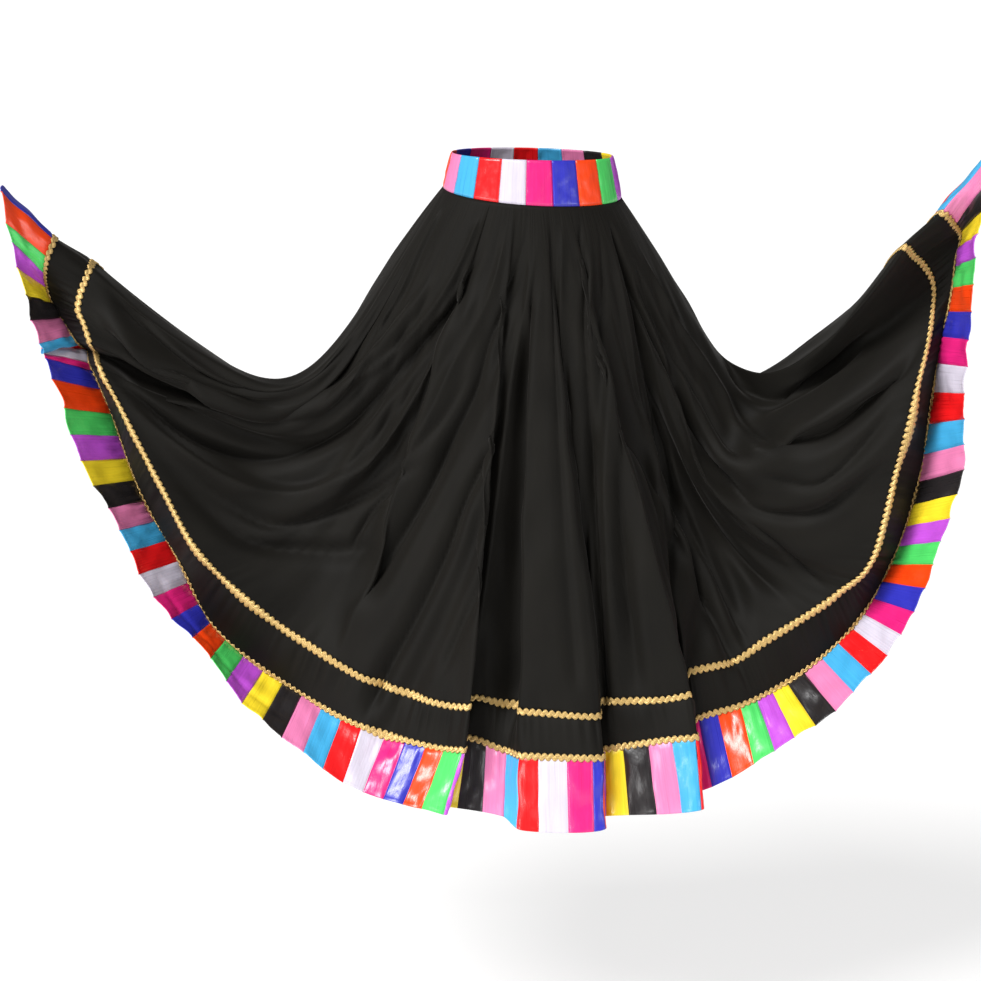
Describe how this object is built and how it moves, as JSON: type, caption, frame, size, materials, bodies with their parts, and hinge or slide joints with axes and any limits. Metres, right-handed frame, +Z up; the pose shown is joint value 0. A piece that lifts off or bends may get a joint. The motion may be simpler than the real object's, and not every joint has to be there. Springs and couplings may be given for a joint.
{
  "type": "folk dance skirt",
  "caption": "Full-circle black folk dance skirt, worn and held out by its hem at both sides, with a striped satin waistband and flounce and gold braid.",
  "frame": {"origin": "middle of the waistband's top edge, where the wearer's waist holds the skirt up", "axes": "+X to the right as seen from the front, -Y towards the front, +Z up along the waist"},
  "size_m": [1.383, 0.5622, 0.9829],
  "materials": {
    "satin_pink": "smooth satin with a soft sheen",
    "satin_light_blue": "smooth satin with a soft sheen",
    "satin_red": "smooth satin with a soft sheen",
    "satin_white": "smooth satin with a soft sheen",
    "satin_magenta": "smooth satin with a soft sheen",
    "satin_blue": "smooth satin with a soft sheen",
    "satin_orange": "smooth satin with a soft sheen",
    "satin_green": "smooth satin with a soft sheen",
    "satin_violet": "smooth satin with a soft sheen",
    "satin_yellow": "smooth satin with a soft sheen",
    "satin_black": "smooth satin with a soft sheen",
    "black_crepe": "matt black crepe",
    "striped_satin": "satin strips in eleven colours, sewn side by side",
    "gold_braid": "scalloped braid of gold thread"
  },
  "bodies": {
    "root": {"band_strip_01": "satin_pink", "band_strip_02": "satin_light_blue", "band_strip_03": "satin_red", "band_strip_04": "satin_white", "band_strip_05": "satin_magenta", "band_strip_06": "satin_blue", "band_strip_07": "satin_orange", "band_strip_08": "satin_green", "band_strip_09": "satin_violet", "band_strip_10": "satin_yellow", "band_strip_11": "satin_black", "band_strip_12": "satin_pink", "band_strip_13": "satin_light_blue", "band_strip_14": "satin_red", "band_strip_15": "satin_white", "band_strip_16": "satin_magenta", "band_strip_17": "satin_blue", "band_strip_18": "satin_orange", "skirt_panel_front": "black_crepe", "tier_front": "black_crepe", "flounce_front": "striped_satin", "upper_braid_front": "gold_braid", "lower_braid_front": "gold_braid", "skirt_panel_back": "black_crepe", "tier_back": "black_crepe", "flounce_back": "striped_satin", "upper_braid_back": "gold_braid", "lower_braid_back": "gold_braid"}
  },
  "joints": []
}
